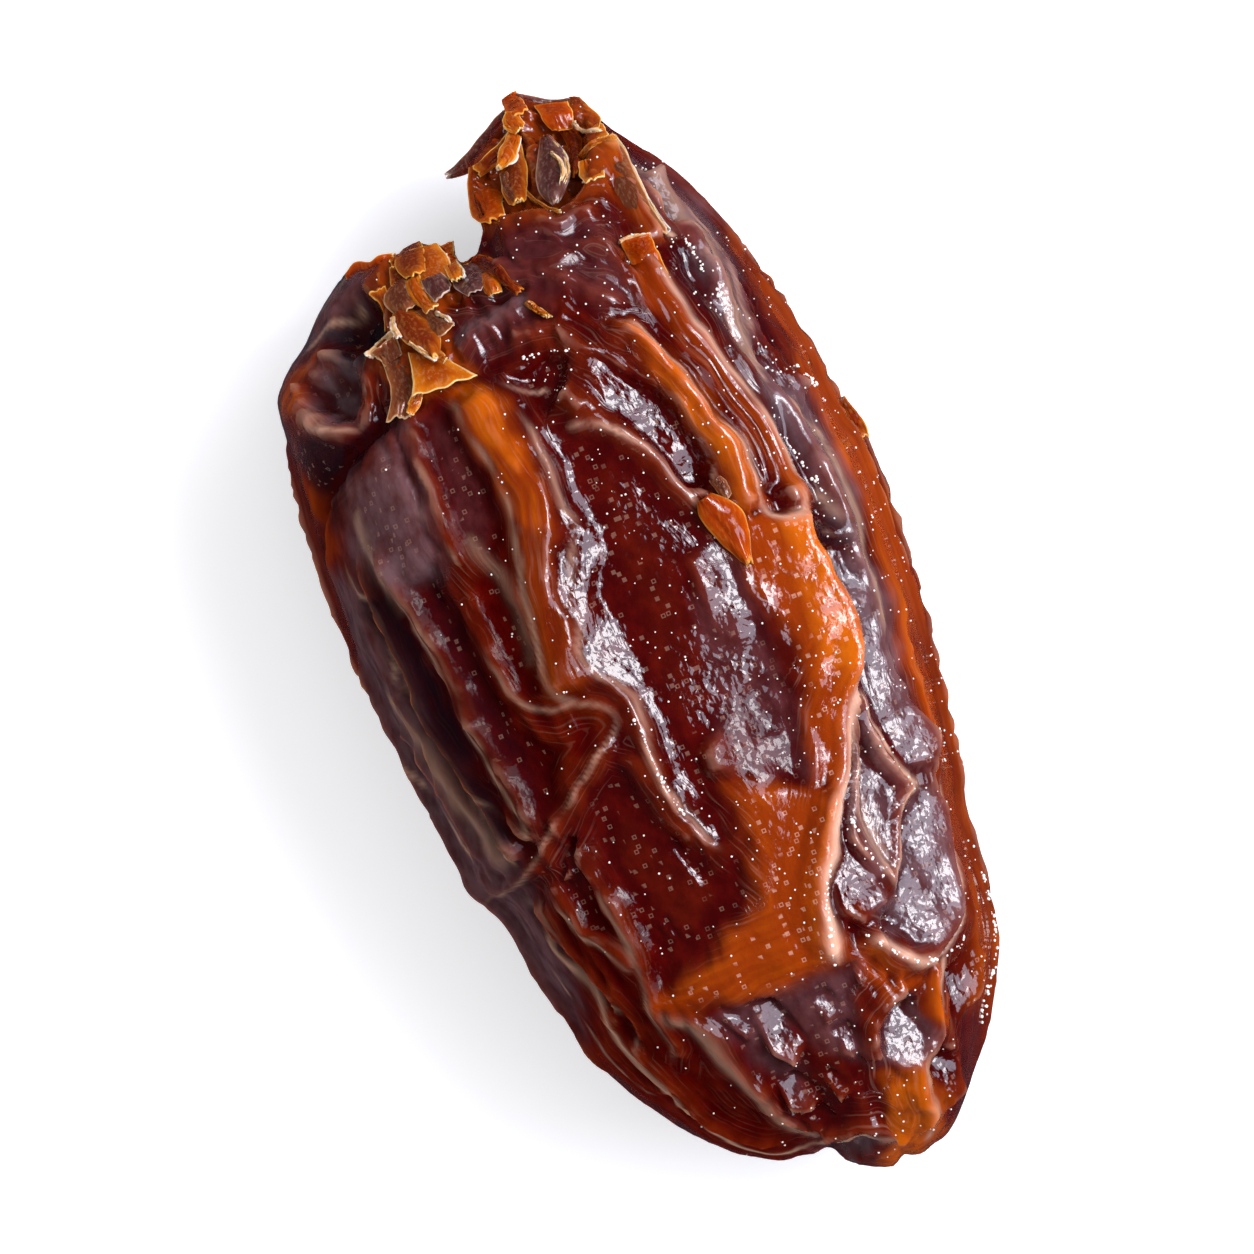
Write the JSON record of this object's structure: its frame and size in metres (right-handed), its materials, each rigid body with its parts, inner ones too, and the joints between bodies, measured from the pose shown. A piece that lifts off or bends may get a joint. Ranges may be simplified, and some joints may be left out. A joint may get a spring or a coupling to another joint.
{
  "type": "medjool date",
  "caption": "Whole dried date lying on its side, with a torn stem end, wrinkled glossy skin and a small flat spot that it rests on",
  "frame": {"origin": "on the surface that the date rests on, below the middle of its box", "axes": "+Y along the date's length towards its torn stem end, +Z up, +X across it, to the right as seen from above with +Y up"},
  "size_m": [0.025, 0.05, 0.0215],
  "materials": {
    "date_skin": "sticky, glossy dried fruit skin, deep red-brown in the hollows and amber on the folds"
  },
  "bodies": {
    "root": {"medjool_date": "date_skin"}
  },
  "joints": []
}
